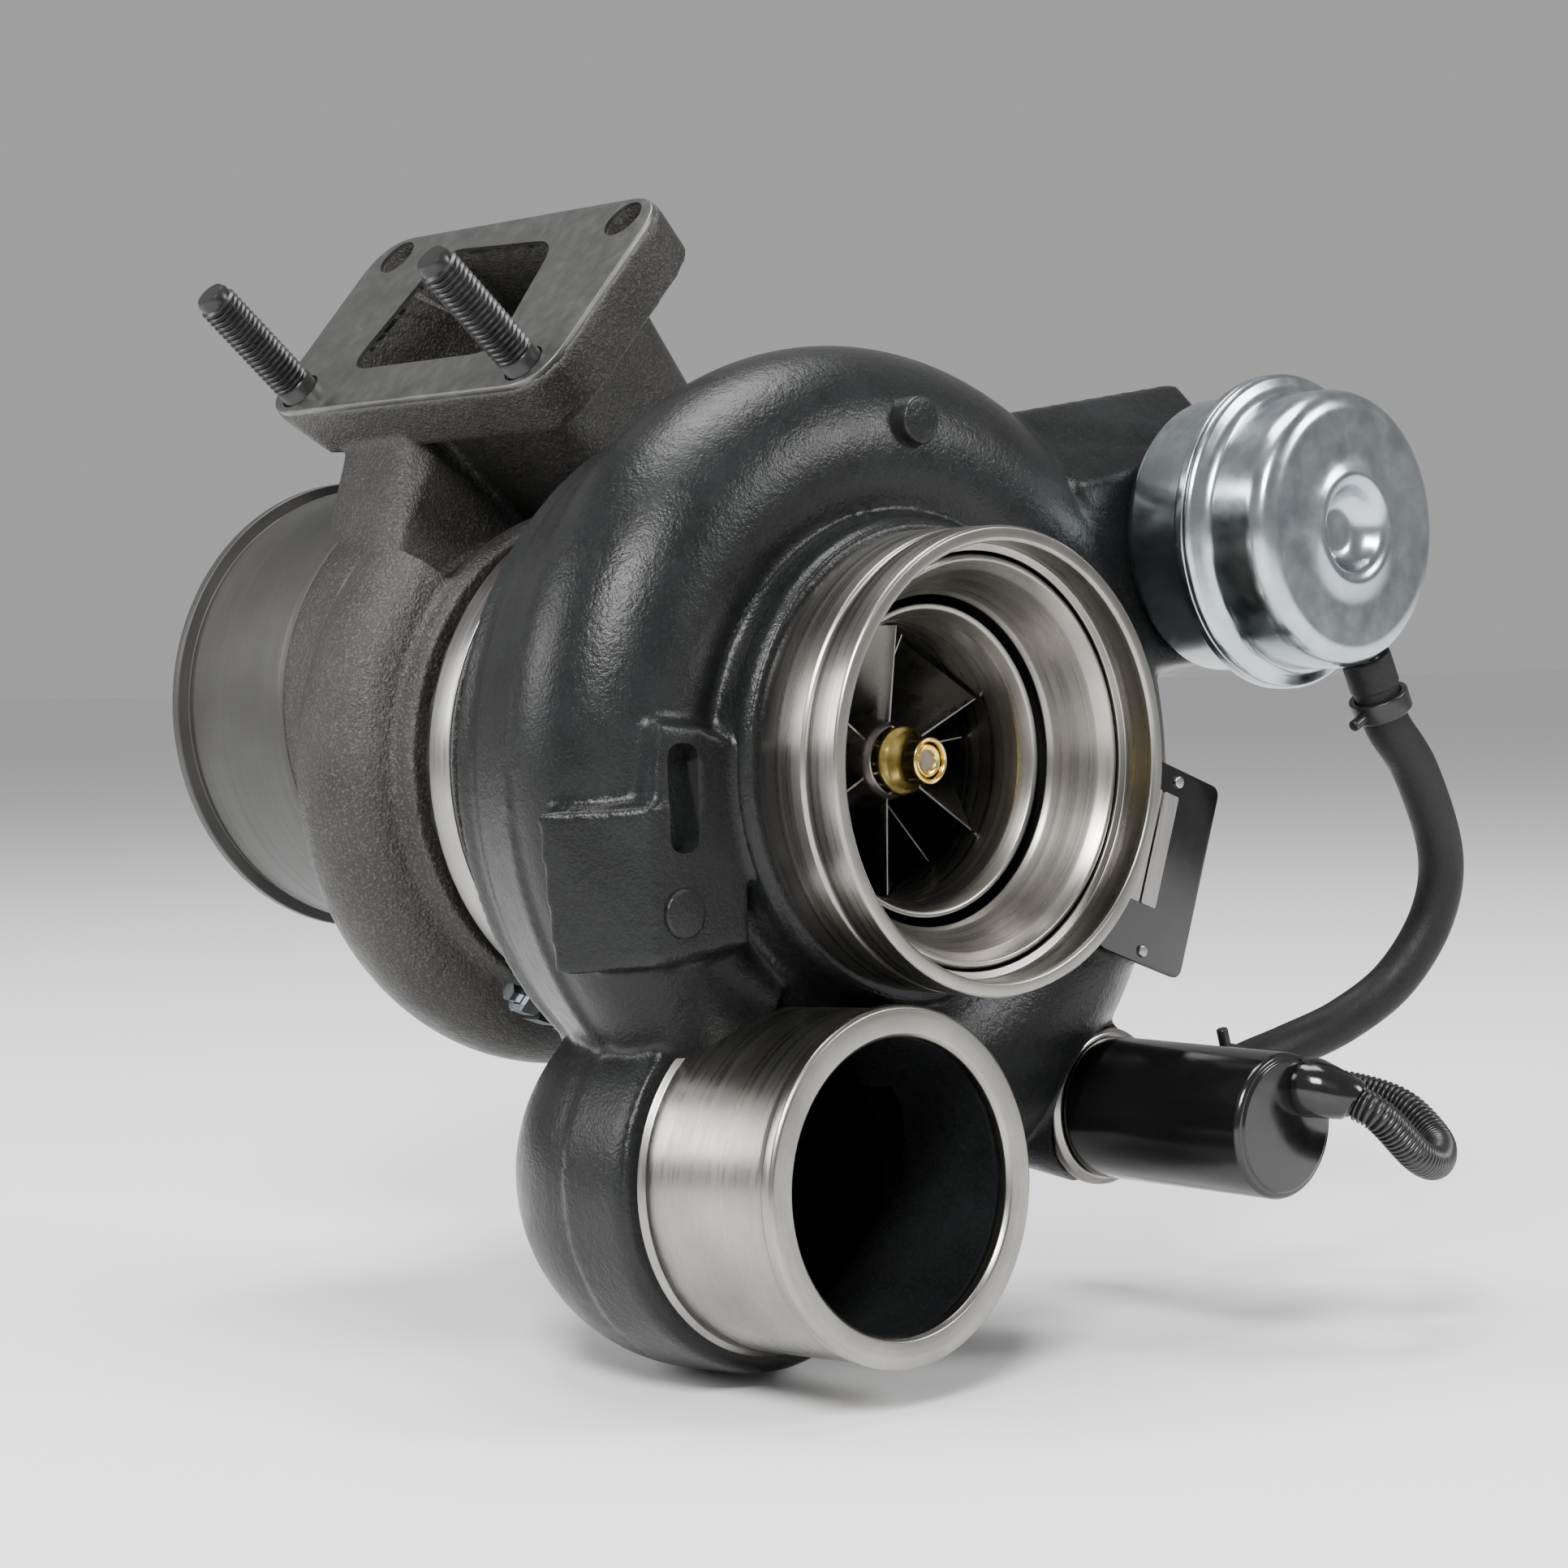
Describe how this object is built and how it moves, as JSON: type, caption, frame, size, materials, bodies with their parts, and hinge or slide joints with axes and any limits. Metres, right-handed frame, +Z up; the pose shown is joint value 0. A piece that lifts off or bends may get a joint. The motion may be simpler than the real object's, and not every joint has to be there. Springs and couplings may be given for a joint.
{
  "type": "turbocharger",
  "caption": "Exhaust-driven turbocharger with internal wastegate, boost actuator, control solenoid, hose and lead.",
  "frame": {"origin": "centre of the turbine inlet flange face, where the exhaust manifold bolts on", "axes": "+Y along the rotor shaft from the compressor inlet to the turbine outlet; +Z up as it sits on the engine; +X to the right seen from the compressor inlet"},
  "size_m": [0.248, 0.2726, 0.2685],
  "materials": {
    "black_paint": "satin cast texture",
    "cast_iron": "as cast",
    "machined_aluminium": "turned",
    "machined_steel": "machined",
    "zinc_plate": "bright zinc",
    "yellow_zinc": "yellow zinc plate",
    "black_oxide": "black oxide",
    "heat_alloy": "heat-darkened alloy",
    "bronze": "bronze",
    "rubber": "matt",
    "black_plastic": "satin",
    "spring_steel": "satin"
  },
  "bodies": {
    "housing": {"compressor_cover": "black_paint", "data_plate": "black_oxide", "inlet_baffle_ring": "machined_aluminium", "compressor_seal_ring": "spring_steel", "thrust_bearing": "bronze", "turbine_seal_ring": "spring_steel", "bearing_ring_front": "spring_steel", "bearing_ring_rear": "spring_steel", "compressor_backplate": "machined_aluminium", "cover_seal_ring": "rubber", "bearing_housing": "cast_iron", "cover_retaining_ring": "spring_steel", "turbine_clamp_band": "black_oxide", "clamp_bolt": "zinc_plate", "clamp_nut": "zinc_plate", "heat_shield": "machined_steel", "turbine_housing": "cast_iron", "inlet_stud_front": "black_oxide", "inlet_stud_rear": "black_oxide", "wastegate_bush": "heat_alloy", "actuator_front_can": "zinc_plate", "actuator_rear_can": "zinc_plate", "actuator_diaphragm": "rubber", "actuator_spring": "spring_steel", "actuator_stud_upper": "zinc_plate", "actuator_stud_lower": "zinc_plate", "actuator_nut_upper": "zinc_plate", "actuator_nut_lower": "zinc_plate", "solenoid_adapter_ring": "machined_aluminium", "solenoid_body": "black_plastic", "loom_gland": "black_plastic", "valve_nipple": "machined_steel", "actuator_nipple": "zinc_plate", "boost_hose": "rubber", "solenoid_lead": "black_plastic", "lead_connector": "black_plastic", "hose_clip_actuator": "spring_steel", "hose_clip_valve": "spring_steel", "lead_bracket": "machined_steel"},
    "rotor": {"turbine_wheel_and_shaft": "heat_alloy", "compressor_wheel": "machined_aluminium", "compressor_nut": "yellow_zinc", "oil_slinger": "machined_steel", "thrust_collar": "machined_steel"},
    "floating_bearings": {"journal_bearing_front": "bronze", "journal_bearing_rear": "bronze"},
    "rod": {"actuator_rod": "zinc_plate", "rod_end": "zinc_plate", "rod_locknut": "zinc_plate", "actuator_piston": "machined_steel"},
    "wastegate": {"wastegate_spindle_arm": "heat_alloy", "wastegate_flap": "heat_alloy", "flap_washer": "heat_alloy", "wastegate_lever": "machined_steel", "lever_pin": "machined_steel", "pin_clip": "spring_steel"}
  },
  "joints": [
    {"name": "rotor_spin", "type": "hinge", "parent": "housing", "child": "rotor", "pos_m": [0.0234, -0.0604, -0.1101], "axis": [0, 1, 0], "continuous": true},
    {"name": "bearing_spin", "type": "hinge", "parent": "housing", "child": "floating_bearings", "pos_m": [0.0234, -0.0584, -0.1101], "axis": [0, 1, 0], "continuous": true},
    {"name": "rod_slide", "type": "slide", "parent": "housing", "child": "rod", "axis": [0, 1, 0], "range_m": [0, 0.0136], "stiffness_N_per_m": 6000, "springref_m": -0.01, "deforming": ["actuator_spring", "actuator_diaphragm"]},
    {"name": "wastegate_hinge", "type": "hinge", "parent": "housing", "child": "wastegate", "pos_m": [0.0234, 0.0446, -0.0823], "axis": [-1, 0, 0], "range_deg": [0, 35.2]}
  ],
  "couplings": [
    {"joint": "bearing_spin", "follows": "rotor_spin", "ratio": 0.25},
    {"joint": "wastegate_hinge", "follows": "rod_slide", "rad_per_m": 44.75}
  ]
}
